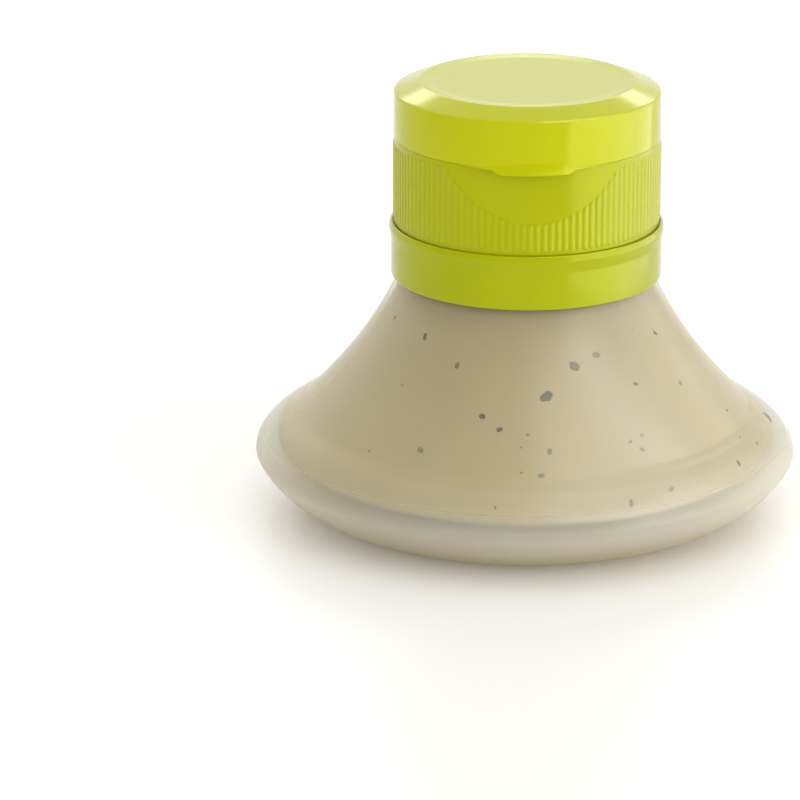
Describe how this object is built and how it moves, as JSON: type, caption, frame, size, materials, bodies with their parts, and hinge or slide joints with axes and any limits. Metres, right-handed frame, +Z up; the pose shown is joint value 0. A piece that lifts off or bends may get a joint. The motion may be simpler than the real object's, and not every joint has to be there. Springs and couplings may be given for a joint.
{
  "type": "squeeze bottle with flip cap",
  "caption": "Squat soft squeeze bottle for salad dressing, with a flared body, a plain collar, a ribbed screw cap and a hinged flip lid with a thumb tab.",
  "frame": {"origin": "centre of the foot, on the surface that the bottle stands on", "axes": "+Z up along the bottle's axis, the thumb tab faces -Y, the lid's hinge is at +Y"},
  "size_m": [0.0816, 0.0816, 0.0662],
  "materials": {
    "frosted_body": "satin, frosted, translucent",
    "dressing": "creamy",
    "pepper": "matt",
    "chilli": "matt",
    "herb": "matt",
    "natural_plastic": "satin, natural polypropylene",
    "lime_collar": "satin gloss",
    "seal_foam": "matt",
    "lime_cap": "satin gloss",
    "pin_steel": "bright drawn",
    "lime_lid": "satin gloss"
  },
  "bodies": {
    "bottle": {"squeeze_body": "frosted_body", "sauce_fill": "dressing", "pepper_flecks": "pepper", "chilli_flecks": "chilli", "herb_flecks": "herb", "neck_insert": "natural_plastic", "neck_collar": "lime_collar"},
    "seal": {"cap_seal": "seal_foam"},
    "cap": {"cap_base": "lime_cap", "hinge_pin": "pin_steel"},
    "lid": {"flip_lid": "lime_lid"}
  },
  "joints": [
    {"name": "cap_lift", "type": "slide", "parent": "bottle", "child": "seal", "axis": [0, 0, 1], "range_m": [0, 0.00526]},
    {"name": "cap_turn", "type": "hinge", "parent": "seal", "child": "cap", "pos_m": [0, 0, 0.05], "axis": [0, 0, 1], "range_deg": [0, 450]},
    {"name": "lid_hinge", "type": "hinge", "parent": "cap", "child": "lid", "pos_m": [0, 0.0207, 0.0579], "axis": [-1, 0, 0], "range_deg": [0, 130]}
  ],
  "couplings": [
    {"joint": "cap_lift", "follows": "cap_turn", "m_per_rad": 0.00066845}
  ]
}
